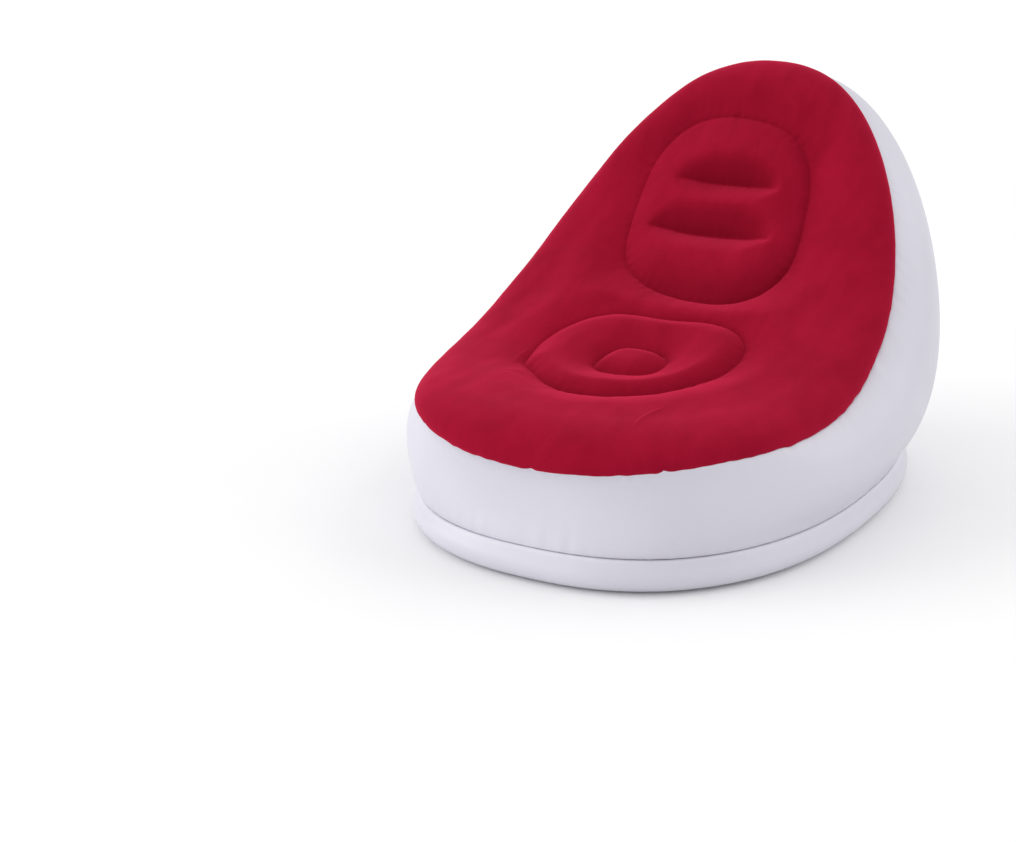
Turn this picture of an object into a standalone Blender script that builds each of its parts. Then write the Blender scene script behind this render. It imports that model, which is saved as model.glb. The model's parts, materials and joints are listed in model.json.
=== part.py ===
"""Inflatable lounge chair, built as the welded sheets and valve pieces that it is made of.

Frame: metres, +Z up, the front of the seat towards -Y, the sitter's left towards +X,
origin on the floor under the middle of the object.

The body is a main air chamber (seat-and-back panel, side wall, bottom sheet) that stands
on a second, ring-shaped air chamber (outer wall, inner wall, floor sheet). Webs inside
the main chamber hold the panel's grooves in. A screw-in valve sits low on the rear wall,
and a small push-in stem valve on the rear of the base ring.
"""
import bpy
import bmesh
import numpy as np
from math import pi, radians, sin, cos
from mathutils import Matrix, Vector
from mathutils.bvhtree import BVHTree

# ---------------------------------------------------------------- driving dimensions
SHEET = 0.0008          # thickness of a coated vinyl sheet
GAP = 0.0003            # gap between welded neighbours
LIP = 0.006             # width of the inward weld flange on every sheet edge

RIM_TILT = 23.76         # tilt of the rim's mean plane, degrees, back up
RIM_Y, RIM_Z = -0.047, 0.474
RIM_HALF_W, RIM_HALF_L = 0.406, 0.603
RIM_POWER = 2.26       # squareness of the rim's plan
RIM_EGG = 0.152         # the rim is wider at the front and narrower at the back
RIM_WAVE = (-0.043, -0.067, 0.104, -0.005, -0.018)   # the rim's swing over its plane
CREST, CREST_MID, CREST_BACK = 0.038, 0.010, -0.014  # rise of the padded edge over the seam
CREST_IN = 0.79         # where the padded edge crests, as a part of the half width
CROWN_MID, CROWN_END = 0.008, 0.004                  # the air holds the middle this far over the padded edge
CROWN_IN, CROWN_OUT = 0.35, 0.90
TOP_ROLL, TOP_ROLL_FROM = 0.050, 0.30      # the padded edge rolls over the top and down to a lower seam

WALL_TOP = (0.105, -0.131, 0.002, -0.007)    # bulge of the side wall under the rim
WALL_LOW = (0.014, 0.011, -0.051, 0.007)   # bulge of the side wall over the base crease
WALL_DROP = (0.182, 0.087, -0.098)         # how steeply the wall leaves the rim
WALL_RISE = (0.381, -0.091, 0.098, -0.129)  # how steeply it rises from the crease
CORNER_AT, CORNER_WIDTH = 0.54, 0.38   # the front corners of the wall hang lower over the ring: where, how wide
CORNER_TOP, CORNER_DROP, CORNER_LOW, CORNER_RISE = -0.031, 0.009, 0.028, -0.205

BASE_HALF_W, BASE_HALF_L, BASE_Y = 0.394, 0.555, -0.011
BASE_POWER = 2.40
BASE_H = 0.064          # height of the base ring
BASE_BULGE = 0.036      # the ring's outer wall stands out this far over its crease
RING_W = 0.175          # width of the ring-shaped chamber at its crease
INNER_BULGE = 0.022

SEAT_RING = (-0.200, 0.187, 0.154, 2.7)    # centre along the panel, half width, half length, squareness
SEAT_DISC = (-0.202, 0.066, 0.055, 2.3)
BACK_OVAL = (0.229, 0.188, 0.204, 2.6)
CREASES = ((0.305, 0.105), (0.191, 0.133))  # place along the panel and half length of each back crease
CREASE_SAG = 0.010

VALVE_Z = 0.138         # height of the main valve on the rear wall
STEPS = 28              # facets of a turned piece

N_ROUND = 56            # stations round the object
N_PANEL = 15            # rows of the panel
N_WALL = 10             # rows of the side wall
N_RING = 7              # rows of the ring's outer wall

# ---------------------------------------------------------------- clean scene
for old in list(bpy.data.objects):
    bpy.data.objects.remove(old, do_unlink=True)


def new_collection(name):
    coll = bpy.data.collections.new(name)
    bpy.context.scene.collection.children.link(coll)
    return coll


PARTS = new_collection("inflatable_chair")
CUTTERS = new_collection("cutters")


def material(name, color, rough, sheen=0.0):
    mat = bpy.data.materials.new(name)
    mat.use_nodes = True
    shader = mat.node_tree.nodes["Principled BSDF"]
    shader.inputs["Base Color"].default_value = (*color, 1.0)
    shader.inputs["Roughness"].default_value = rough
    shader.inputs["Metallic"].default_value = 0.0
    shader.inputs["Sheen Weight"].default_value = sheen
    return mat


RED = (0.42, 0.012, 0.045)
WHITE = (0.72, 0.70, 0.78)
CLEAR = (0.62, 0.62, 0.66)
VALVE_WHITE = (0.80, 0.80, 0.82)


# ---------------------------------------------------------------- shape rules
def spow(v, p):
    return np.sign(v) * np.abs(v) ** p


def waves(k, t):
    return sum(c * np.cos(i * t) for i, c in enumerate(k))


def tilted(a, b, n):
    """A point of the rim's mean plane (a across, b along, n over it) in the object's frame."""
    q = radians(RIM_TILT)
    return np.stack(np.broadcast_arrays(
        a, RIM_Y + b * np.cos(q) - n * np.sin(q), RIM_Z + b * np.sin(q) + n * np.cos(q)), -1)


def rim_plan(t):
    c, s = np.cos(t), np.sin(t)
    return (RIM_HALF_W * spow(s, 2 / RIM_POWER) * (1 + RIM_EGG * c),
            -RIM_HALF_L * spow(c, 2 / RIM_POWER))


def rim_height(bn):
    return waves(RIM_WAVE, np.arccos(np.clip(-spow(np.clip(bn, -1, 1), RIM_POWER / 2), -1, 1)))


def smooth(x):
    x = np.clip(x, 0, 1)
    return x * x * (3 - 2 * x)


def top_roll(bn):
    return TOP_ROLL * smooth((bn - TOP_ROLL_FROM) / (1 - TOP_ROLL_FROM))


def seam_height(t):
    return waves(RIM_WAVE, t) - top_roll(-spow(np.cos(t), 2 / RIM_POWER))


def plan_ratio(a, b):
    """0 at the panel's centre, 1 on its rim."""
    a, b = np.asarray(a, float), np.asarray(b, float)
    s = np.maximum(np.abs(b) / RIM_HALF_L, 1e-6) + 0.5 * np.abs(a) / RIM_HALF_W
    for _ in range(60):
        c = -spow(np.clip(b / (np.maximum(s, 1e-6) * RIM_HALF_L), -1, 1), RIM_POWER / 2)
        s = 0.5 * s + 0.5 * ((np.abs(a) / (RIM_HALF_W * (1 + RIM_EGG * c))) ** RIM_POWER
                             + (np.abs(b) / RIM_HALF_L) ** RIM_POWER) ** (1 / RIM_POWER)
    return s


def panel_height(s, b):
    bn = b / RIM_HALF_L
    crest = CREST + CREST_MID * (1 - bn * bn) + CREST_BACK * bn
    edge = np.clip((s - CREST_IN) / (1 - CREST_IN), 0, 1)
    drop = 1 - np.sqrt(np.clip(1 - edge * edge, 0, 1))
    crown = CROWN_MID * (1 - bn * bn) + CROWN_END * bn * bn
    roll = top_roll(bn)
    return rim_height(bn) + crest - (crest + roll) * drop + crown * (1 - smooth((s - CROWN_IN) / (CROWN_OUT - CROWN_IN)))


def panel_at(a, b):
    return tilted(a, b, panel_height(plan_ratio(a, b), b))


def base_plan(t, out=0.0):
    c, s = np.cos(t), np.sin(t)
    return (BASE_HALF_W * spow(s, 2 / BASE_POWER) + out * s,
            BASE_Y - BASE_HALF_L * spow(c, 2 / BASE_POWER) - out * c)


def corner(t):
    """1 at the two front corners of the side wall, 0 away from them."""
    t = (t + pi) % (2 * pi) - pi
    return np.exp(-((t - CORNER_AT) / CORNER_WIDTH) ** 2) + np.exp(-((t + CORNER_AT) / CORNER_WIDTH) ** 2)


def wall_row(v, t, foot):
    a, b = rim_plan(t)
    p0 = tilted(a, b, seam_height(t) - GAP / 2)
    x, y = base_plan(t)
    p3 = np.stack(np.broadcast_arrays(x, y, foot), -1)
    out = np.stack(np.broadcast_arrays(np.sin(t), -np.cos(t), 0.0), -1)
    up = np.array([0, 0, 1.0])
    h = (p0[:, 2] - foot)[:, None]
    g = corner(t)
    p1 = p0 + out * (waves(WALL_TOP, t) + CORNER_TOP * g)[:, None] - up * h * (waves(WALL_DROP, t) + CORNER_DROP * g)[:, None]
    p2 = (p3 + out * (waves(WALL_LOW, t) + CORNER_LOW * g + BASE_BULGE)[:, None]
          + up * h * (waves(WALL_RISE, t) + CORNER_RISE * g)[:, None])
    return (1 - v) ** 3 * p0 + 3 * (1 - v) ** 2 * v * p1 + 3 * (1 - v) * v * v * p2 + v ** 3 * p3


def ring_row(out, z, t):
    x, y = base_plan(t, out)
    return np.stack(np.broadcast_arrays(x, y, z), -1)


# ---------------------------------------------------------------- builders
def add(name, mesh, mat, coll=PARTS):
    obj = bpy.data.objects.new(name, mesh)
    coll.objects.link(obj)
    if mat:
        mesh.materials.append(mat)
    return obj


def loft(name, rows, mat, flip=False, centre=None, thickness=SHEET, offset=-1.0, closed=True):
    """A sheet through rows of points, given thickness on its inner side."""
    bm = bmesh.new()
    grid = [[bm.verts.new(p) for p in row] for row in rows]
    n = len(grid[0])
    span = n if closed else n - 1
    for r in range(len(grid) - 1):
        for j in range(span):
            k = (j + 1) % n
            quad = (grid[r][j], grid[r + 1][j], grid[r + 1][k], grid[r][k])
            bm.faces.new(tuple(reversed(quad)) if flip else quad)
    if centre is not None:
        hub = bm.verts.new(centre)
        for j in range(n):
            bm.faces.new((hub, grid[0][j], grid[0][(j + 1) % n]))
    mesh = bpy.data.meshes.new(name)
    bm.to_mesh(mesh)
    bm.free()
    mesh.shade_smooth()
    obj = add(name, mesh, mat)
    solid = obj.modifiers.new("sheet", "SOLIDIFY")
    solid.thickness = thickness
    solid.offset = offset
    solid.use_even_offset = True
    solid.use_rim = True
    return obj


def cutter_style(obj):
    obj.hide_render = True
    obj.display_type = "WIRE"
    return obj


def turned(name, profile, place, mat, coll=PARTS):
    """A turned piece: a closed outline at +X, down its outer side first, spun about its own Z."""
    mesh = bpy.data.meshes.new(name)
    n = len(profile)
    on_axis = profile[0][0] == 0.0 and profile[-1][0] == 0.0
    edges = [(i, i + 1) for i in range(n - 1)] + ([] if on_axis else [(n - 1, 0)])
    mesh.from_pydata([(r, 0.0, z) for r, z in profile], edges, [])
    obj = add(name, mesh, mat, coll)
    spin = obj.modifiers.new("spin", "SCREW")
    spin.axis = "Z"
    spin.angle = 2 * pi
    spin.steps = STEPS
    spin.render_steps = STEPS
    spin.use_merge_vertices = True
    spin.merge_threshold = 0.00001
    obj.matrix_world = place
    return obj


def block(name, size, centre, place, coll=CUTTERS, mat=None):
    """A box of the given size, placed in a piece's own frame."""
    mesh = bpy.data.meshes.new(name)
    bm = bmesh.new()
    bmesh.ops.create_cube(bm, size=1.0, matrix=Matrix.Translation(centre) @ Matrix.Diagonal((*size, 1.0)))
    bm.to_mesh(mesh)
    bm.free()
    obj = add(name, mesh, mat, coll)
    obj.matrix_world = place
    return obj


def combine(obj, other, how):
    mod = obj.modifiers.new(how.lower() + "_" + other.name, "BOOLEAN")
    mod.operation = how
    mod.solver = "EXACT"
    mod.object = cutter_style(other)


def crosswise(place, point):
    """The frame of a pin or barrel: its own Z lies along the hinge."""
    return place @ Matrix.Translation(point) @ Matrix.Rotation(radians(90), 4, "Y")


def on_axis_of(obj, name, point, place):
    """Give a moving piece a parent empty that stands on its joint's axis."""
    empty = bpy.data.objects.new(name, None)
    PARTS.objects.link(empty)
    empty.matrix_world = place @ Matrix.Translation(point)
    bpy.context.view_layer.update()
    keep = obj.matrix_world.copy()
    obj.parent = empty
    obj.matrix_parent_inverse = empty.matrix_world.inverted()
    obj.matrix_world = keep


# ---------------------------------------------------------------- chamber sheets
T = np.arange(N_ROUND) * 2 * pi / N_ROUND

flock = material("flocked_vinyl_red", RED, 0.95, 0.6)
panel_rows = []
for k in range(1, N_PANEL + 1):
    if k <= 8:
        s = CREST_IN * k / 8
    else:
        s = CREST_IN + (1 - CREST_IN) * sin((k - 8) / (N_PANEL - 8) * pi / 2)
    a, b = rim_plan(T)
    a, b = s * a, s * b
    rise = GAP / 2 if k == N_PANEL else 0.0
    panel_rows.append(tilted(a, b, panel_height(np.full_like(a, s), b) + rise))
a, b = rim_plan(T)
inward = np.stack([-np.sin(T), np.cos(T)], -1)
panel_rows.append(tilted(a + LIP * inward[:, 0], b + LIP * inward[:, 1], seam_height(T) + GAP / 2))
loft("seat_back_panel", panel_rows, flock, centre=panel_at(0.0, 0.0))

foot = BASE_H + SHEET / 2 + GAP
wall_rows = [tilted(a + LIP * inward[:, 0], b + LIP * inward[:, 1], seam_height(T) - GAP / 2)]
wall_rows += [wall_row(k / N_WALL, T, foot) for k in range(N_WALL + 1)]
wall_rows.append(ring_row(-LIP, foot, T))
wall = loft("body_side_wall", wall_rows, material("white_vinyl_body", WHITE, 0.42))

x, y = base_plan(T)
sheet_rows = [np.stack([q * x, BASE_Y + q * (y - BASE_Y), np.full_like(x, BASE_H)], -1) for q in (0.55, 1.0)]
loft("body_bottom_sheet", sheet_rows, material("white_vinyl_bottom", WHITE, 0.5),
     centre=(0.0, BASE_Y, BASE_H), offset=0.0)

top_z = BASE_H - SHEET / 2 - GAP
low_z = SHEET + GAP
ring_rows = [ring_row(-LIP, top_z, T)]
for k in range(N_RING + 1):
    ang = pi / 2 - pi * k / N_RING
    ring_rows.append(ring_row(BASE_BULGE * cos(ang), (top_z + low_z) / 2 + (top_z - low_z) / 2 * sin(ang), T))
ring_rows.append(ring_row(-LIP, low_z, T))
ring = loft("base_ring_outer_wall", ring_rows, material("white_vinyl_ring", WHITE, 0.42))

T2 = np.arange(40) * 2 * pi / 40
inner_rows = [ring_row(-RING_W + LIP, top_z, T2)]
for k in range(6):
    ang = pi / 2 - pi * k / 5
    inner_rows.append(ring_row(-RING_W - INNER_BULGE * cos(ang),
                               (top_z + low_z) / 2 + (top_z - low_z) / 2 * sin(ang), T2))
inner_rows.append(ring_row(-RING_W + LIP, low_z, T2))
loft("base_ring_inner_wall", inner_rows, material("white_vinyl_inner", WHITE, 0.5), flip=True)

loft("base_ring_floor_sheet", [ring_row(-RING_W, 0.0, T), ring_row(-RING_W / 2, 0.0, T), ring_row(0.0, 0.0, T)],
     material("white_vinyl_floor", WHITE, 0.55), offset=1.0)

# ---------------------------------------------------------------- webs inside the main chamber
clear_web = material("web_vinyl", CLEAR, 0.5)


def loop(centre, half_w, half_l, power, count):
    t = np.arange(count) * 2 * pi / count
    return half_w * spow(np.sin(t), 2 / power), centre - half_l * spow(np.cos(t), 2 / power)


UNDER = SHEET + 0.0022      # the webs stop this far under the panel's face and short of the walls


def under_panel(a, b):
    """Points just under the panel, straight below its surface."""
    p = panel_at(a, b)
    p[:, 2] -= UNDER * 1.3
    return p


for name, spec, count in (("seat_outer_ring_baffle", SEAT_RING, 36), ("seat_inner_ring_baffle", SEAT_DISC, 24)):
    a, b = loop(*spec, count)
    top = under_panel(a, b)
    low = top.copy()
    low[:, 2] = BASE_H + SHEET / 2 + GAP
    loft(name, [top, (top + low) / 2, low], clear_web, thickness=SHEET, offset=-1.0)

bpy.context.view_layer.update()
depsgraph = bpy.context.evaluated_depsgraph_get()
wall_tree = BVHTree.FromObject(wall, depsgraph)
BACKWARD = Vector((0.0, 1.0, -0.12)).normalized()


def to_rear_wall(points):
    """Where straight lines towards the back from these points meet the inside of the side wall."""
    ends = []
    for p in points:
        hit = wall_tree.ray_cast(Vector(p), BACKWARD)[0]
        ends.append(hit - BACKWARD * 0.002)
    return np.array([tuple(e) for e in ends])


def behind_panel(a, b):
    p = panel_at(a, b)
    return p + UNDER * 1.6 * np.array(BACKWARD) + np.array([0.0, 0.0, -0.0012])


a, b = loop(*BACK_OVAL, 36)
front = behind_panel(a, b)
rear = to_rear_wall(front)
loft("back_oval_baffle", [front, (front + rear) / 2, rear], clear_web)

for name, (place_b, half) in zip(("back_upper_tie_strip", "back_lower_tie_strip"), CREASES):
    a = np.linspace(-half, half, 9)
    b = place_b - CREASE_SAG * (1 - (a / half) ** 2)
    front = behind_panel(a, b)
    rear = to_rear_wall(front)
    loft(name, [front, (front + rear) / 2, rear], clear_web, closed=False, offset=0.0)

# ---------------------------------------------------------------- main valve, low on the rear wall
# It sits in the flat strip between the two lowest rows of the wall, on the centre line.
low_end, high_end = (Vector(wall_row(v, np.array([pi]), foot)[0]) for v in (1.0, 1.0 - 1.0 / N_WALL))
along = (high_end - low_end).normalized()
point = low_end.lerp(high_end, (VALVE_Z - low_end.z) / (high_end.z - low_end.z))
outward = Vector((1.0, 0.0, 0.0)).cross(along).normalized()
if outward.y < 0:
    outward = -outward
side = along.cross(outward)
MAIN = Matrix.Translation(point) @ Matrix((side, along, outward)).transposed().to_4x4()
mm = 0.001

hole = turned("main_valve_hole", [(0.0, 8 * mm), (21 * mm, 8 * mm), (21 * mm, -8 * mm), (0.0, -8 * mm)],
              MAIN, None, CUTTERS)
combine(wall, hole, "DIFFERENCE")

valve_mat = material("valve_white", VALVE_WHITE, 0.35)
turned("main_valve_flange", [(17.2 * mm, 0.3 * mm + 1.8 * mm), (29 * mm, 2.1 * mm), (30 * mm, 1.5 * mm),
                             (30 * mm, 0.3 * mm), (20 * mm, 0.3 * mm), (20 * mm, -14 * mm),
                             (17.2 * mm, -14 * mm)], MAIN, valve_mat)

insert = turned("main_valve_insert", [(9 * mm, 6.4 * mm), (19.6 * mm, 6.4 * mm), (20.4 * mm, 5.8 * mm),
                                      (20.4 * mm, 3.9 * mm), (16.9 * mm, 3.9 * mm), (16.9 * mm, -13 * mm),
                                      (9 * mm, -13 * mm)], MAIN, material("valve_insert_white", VALVE_WHITE, 0.4))
for k in range(6):
    notch = block("insert_grip_%d" % k, (3 * mm, 3 * mm, 4 * mm),
                  (20.6 * mm * cos(k * pi / 3 + 0.5), 20.6 * mm * sin(k * pi / 3 + 0.5), 5 * mm), MAIN)
    combine(insert, notch, "DIFFERENCE")

strap = turned("main_valve_strap", [(17.3 * mm, 3.5 * mm), (21.6 * mm, 3.5 * mm), (21.6 * mm, 2.4 * mm),
                                    (17.3 * mm, 2.4 * mm)], MAIN, material("valve_strap_white", VALVE_WHITE, 0.45))
combine(strap, block("strap_arm", (8 * mm, 6 * mm, 1.1 * mm), (0, 23.6 * mm, 2.95 * mm), MAIN), "UNION")
combine(strap, block("strap_knuckle", (8 * mm, 2.6 * mm, 2.4 * mm), (0, 25.4 * mm, 3.5 * mm), MAIN), "UNION")
CAP_AXIS = (0.0, 22.8 * mm, 5.6 * mm)
for k, side_x in enumerate((-3.3 * mm, 3.3 * mm)):
    combine(strap, block("strap_ear_%d" % k, (1.4 * mm, 3.6 * mm, 4.2 * mm), (side_x, 23.7 * mm, 4.5 * mm), MAIN),
            "UNION")
combine(strap, turned("strap_pin", [(0.0, 3.2 * mm), (0.5 * mm, 3.2 * mm), (0.5 * mm, -3.2 * mm), (0.0, -3.2 * mm)],
                      crosswise(MAIN, CAP_AXIS), None, CUTTERS), "UNION")

cap = turned("main_valve_cap", [(0.0, 8.4 * mm), (19.4 * mm, 8.4 * mm), (20.4 * mm, 7.6 * mm),
                                (20.4 * mm, 6.7 * mm), (8.6 * mm, 6.7 * mm), (8.4 * mm, 5.2 * mm),
                                (0.0, 5.2 * mm)], MAIN, material("valve_cap_white", VALVE_WHITE, 0.35))
combine(cap, block("cap_lug", (4.4 * mm, 4 * mm, 0.9 * mm), (0, 20.6 * mm, 7.25 * mm), MAIN), "UNION")
combine(cap, block("cap_pull_tab", (9 * mm, 7 * mm, 1.1 * mm), (0, -22 * mm, 7.3 * mm), MAIN), "UNION")
combine(cap, block("cap_neck", (4.4 * mm, 1.0 * mm, 0.9 * mm), (0, 22.1 * mm, 6.95 * mm), MAIN), "UNION")
combine(cap, turned("cap_barrel", [(0.8 * mm, 2.3 * mm), (1.2 * mm, 2.3 * mm), (1.2 * mm, -2.3 * mm),
                                   (0.8 * mm, -2.3 * mm)], crosswise(MAIN, CAP_AXIS), None, CUTTERS), "UNION")
on_axis_of(cap, "main_valve_cap_axis", CAP_AXIS, MAIN)

FLAP_AXIS = (0.0, 11.4 * mm, -13.7 * mm)
flap = turned("main_valve_flap", [(0.0, -13.3 * mm), (11 * mm, -13.3 * mm), (11 * mm, -14.1 * mm),
                                  (0.0, -14.1 * mm)], MAIN, material("flap_clear", CLEAR, 0.3))
on_axis_of(flap, "main_valve_flap_axis", FLAP_AXIS, MAIN)

# ---------------------------------------------------------------- stem valve on the rear of the base ring
mid_z = (top_z + low_z) / 2
rear_y = ring_row(BASE_BULGE, mid_z, np.array([pi]))[0][1]
BASE = Matrix.Translation((0.0, rear_y, mid_z)) @ Matrix(((-1, 0, 0), (0, 0, 1), (0, 1, 0))).to_4x4()
hole = turned("base_valve_hole", [(0.0, 6 * mm), (6.6 * mm, 6 * mm), (6.6 * mm, -6 * mm), (0.0, -6 * mm)],
              BASE, None, CUTTERS)
combine(ring, hole, "DIFFERENCE")
turned("base_valve_flange", [(4.8 * mm, 1.4 * mm), (11.4 * mm, 1.4 * mm), (12 * mm, 1.0 * mm), (12 * mm, 0.4 * mm),
                             (6.2 * mm, 0.4 * mm), (6.2 * mm, -3.5 * mm), (4.8 * mm, -3.5 * mm)],
       BASE, material("base_flange_white", VALVE_WHITE, 0.4))
stem = turned("base_valve_stem", [(2.8 * mm, 3.0 * mm), (6.0 * mm, 3.0 * mm), (6.0 * mm, 1.8 * mm),
                                  (4.5 * mm, 1.8 * mm), (4.5 * mm, -15 * mm), (2.8 * mm, -15 * mm)],
              BASE, material("base_stem_white", VALVE_WHITE, 0.4))
PLUG_AXIS = (0.0, 7.2 * mm, 2.9 * mm)
for k, side_x in enumerate((-2.1 * mm, 2.1 * mm)):
    combine(stem, block("stem_ear_%d" % k, (0.8 * mm, 2.8 * mm, 1.35 * mm), (side_x, 6.6 * mm, 2.575 * mm), BASE),
            "UNION")
combine(stem, turned("stem_pin", [(0.0, 2.0 * mm), (0.3 * mm, 2.0 * mm), (0.3 * mm, -2.0 * mm), (0.0, -2.0 * mm)],
                     crosswise(BASE, PLUG_AXIS), None, CUTTERS), "UNION")
plug = turned("base_valve_plug", [(0.0, 4.6 * mm), (5.4 * mm, 4.6 * mm), (6.0 * mm, 4.1 * mm), (6.0 * mm, 3.4 * mm),
                                  (2.6 * mm, 3.4 * mm), (2.5 * mm, 2.4 * mm), (0.0, 2.4 * mm)],
              BASE, material("base_plug_white", VALVE_WHITE, 0.35))
combine(plug, block("plug_lug", (2.8 * mm, 1.9 * mm, 0.8 * mm), (0, 6.25 * mm, 3.85 * mm), BASE), "UNION")
combine(plug, turned("plug_barrel", [(0.5 * mm, 1.4 * mm), (0.78 * mm, 1.4 * mm), (0.78 * mm, -1.4 * mm),
                                     (0.5 * mm, -1.4 * mm)], crosswise(BASE, PLUG_AXIS), None, CUTTERS), "UNION")
combine(plug, block("plug_tab", (4 * mm, 3.5 * mm, 0.9 * mm), (0, -6.8 * mm, 3.9 * mm), BASE), "UNION")
on_axis_of(plug, "base_valve_plug_axis", PLUG_AXIS, BASE)
turned_flap = turned("base_valve_flap", [(0.0, -15.4 * mm), (4.0 * mm, -15.4 * mm), (4.0 * mm, -16.0 * mm),
                                         (0.0, -16.0 * mm)], BASE, material("base_flap_clear", CLEAR, 0.3))
on_axis_of(turned_flap, "base_valve_flap_axis", (0.0, 4.3 * mm, -15.7 * mm), BASE)
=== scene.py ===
import json
from math import pi, radians, sin, cos, sqrt

import bpy
import bmesh
import numpy as np
from mathutils import Matrix, Vector, kdtree
from mathutils.geometry import delaunay_2d_cdt


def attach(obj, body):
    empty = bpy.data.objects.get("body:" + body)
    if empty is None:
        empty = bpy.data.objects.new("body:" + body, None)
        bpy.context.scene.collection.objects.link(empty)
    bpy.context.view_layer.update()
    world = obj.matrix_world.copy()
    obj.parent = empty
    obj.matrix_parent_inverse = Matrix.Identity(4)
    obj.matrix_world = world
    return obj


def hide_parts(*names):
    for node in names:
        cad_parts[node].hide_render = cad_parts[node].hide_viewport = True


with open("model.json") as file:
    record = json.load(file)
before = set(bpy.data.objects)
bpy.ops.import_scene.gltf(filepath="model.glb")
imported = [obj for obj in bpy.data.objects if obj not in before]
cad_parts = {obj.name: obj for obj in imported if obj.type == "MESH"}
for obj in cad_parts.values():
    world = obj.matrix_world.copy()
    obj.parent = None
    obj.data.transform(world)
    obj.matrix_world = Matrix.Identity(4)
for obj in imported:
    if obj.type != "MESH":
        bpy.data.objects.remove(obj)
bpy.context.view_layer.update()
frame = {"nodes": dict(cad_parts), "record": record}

NODES = frame["nodes"]

# =====================================================================================
# Shape rules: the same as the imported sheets', read here at a finer pitch
# =====================================================================================
SHEET = 0.0008
GAP = 0.0003
LIP = 0.006

RIM_TILT = 23.76
RIM_Y, RIM_Z = -0.047, 0.474
RIM_HALF_W, RIM_HALF_L = 0.406, 0.603
RIM_POWER = 2.26
RIM_EGG = 0.152
RIM_WAVE = (-0.043, -0.067, 0.104, -0.005, -0.018)
CREST, CREST_MID, CREST_BACK = 0.038, 0.010, -0.014
CREST_IN = 0.79
CROWN_MID, CROWN_END = 0.008, 0.004
CROWN_IN, CROWN_OUT = 0.35, 0.90
TOP_ROLL, TOP_ROLL_FROM = 0.050, 0.30
WALL_TOP = (0.105, -0.131, 0.002, -0.007)
WALL_LOW = (0.014, 0.011, -0.051, 0.007)
WALL_DROP = (0.182, 0.087, -0.098)
WALL_RISE = (0.381, -0.091, 0.098, -0.129)
CORNER_AT, CORNER_WIDTH = 0.54, 0.38
CORNER_TOP, CORNER_DROP, CORNER_LOW, CORNER_RISE = -0.031, 0.009, 0.028, -0.205
BASE_HALF_W, BASE_HALF_L, BASE_Y = 0.394, 0.555, -0.011
BASE_POWER = 2.40
BASE_H = 0.064
BASE_BULGE = 0.036
RING_W = 0.175
INNER_BULGE = 0.022
VALVE_Z = 0.138


def spow(v, p):
    return np.sign(v) * np.abs(v) ** p


def waves(k, t):
    return sum(c * np.cos(i * t) for i, c in enumerate(k))


def smooth(x):
    x = np.clip(x, 0, 1)
    return x * x * (3 - 2 * x)


def tilted(a, b, n):
    q = radians(RIM_TILT)
    return np.stack(np.broadcast_arrays(
        a, RIM_Y + b * np.cos(q) - n * np.sin(q), RIM_Z + b * np.sin(q) + n * np.cos(q)), -1)


def rim_plan(t):
    c, s = np.cos(t), np.sin(t)
    return (RIM_HALF_W * spow(s, 2 / RIM_POWER) * (1 + RIM_EGG * c),
            -RIM_HALF_L * spow(c, 2 / RIM_POWER))


def rim_height(bn):
    return waves(RIM_WAVE, np.arccos(np.clip(-spow(np.clip(bn, -1, 1), RIM_POWER / 2), -1, 1)))


def top_roll(bn):
    return TOP_ROLL * smooth((bn - TOP_ROLL_FROM) / (1 - TOP_ROLL_FROM))


def seam_height(t):
    return waves(RIM_WAVE, t) - top_roll(-spow(np.cos(t), 2 / RIM_POWER))


def plan_ratio(a, b):
    a, b = np.asarray(a, float), np.asarray(b, float)
    s = np.maximum(np.abs(b) / RIM_HALF_L, 1e-6) + 0.5 * np.abs(a) / RIM_HALF_W
    for _ in range(60):
        c = -spow(np.clip(b / (np.maximum(s, 1e-6) * RIM_HALF_L), -1, 1), RIM_POWER / 2)
        s = 0.5 * s + 0.5 * ((np.abs(a) / (RIM_HALF_W * (1 + RIM_EGG * c))) ** RIM_POWER
                             + (np.abs(b) / RIM_HALF_L) ** RIM_POWER) ** (1 / RIM_POWER)
    return s


def panel_height(s, b):
    bn = b / RIM_HALF_L
    crest = CREST + CREST_MID * (1 - bn * bn) + CREST_BACK * bn
    edge = np.clip((s - CREST_IN) / (1 - CREST_IN), 0, 1)
    drop = 1 - np.sqrt(np.clip(1 - edge * edge, 0, 1))
    crown = CROWN_MID * (1 - bn * bn) + CROWN_END * bn * bn
    roll = top_roll(bn)
    return rim_height(bn) + crest - (crest + roll) * drop + crown * (1 - smooth((s - CROWN_IN) / (CROWN_OUT - CROWN_IN)))


def panel_at(a, b):
    return tilted(a, b, panel_height(plan_ratio(a, b), b))


def base_plan(t, out=0.0):
    c, s = np.cos(t), np.sin(t)
    return (BASE_HALF_W * spow(s, 2 / BASE_POWER) + out * s,
            BASE_Y - BASE_HALF_L * spow(c, 2 / BASE_POWER) - out * c)


FOOT = BASE_H + SHEET / 2 + GAP
MEET = 0.019           # body and ring press together for this far out from their weld


def corner(t):
    t = (t + pi) % (2 * pi) - pi
    return np.exp(-((t - CORNER_AT) / CORNER_WIDTH) ** 2) + np.exp(-((t + CORNER_AT) / CORNER_WIDTH) ** 2)


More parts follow.
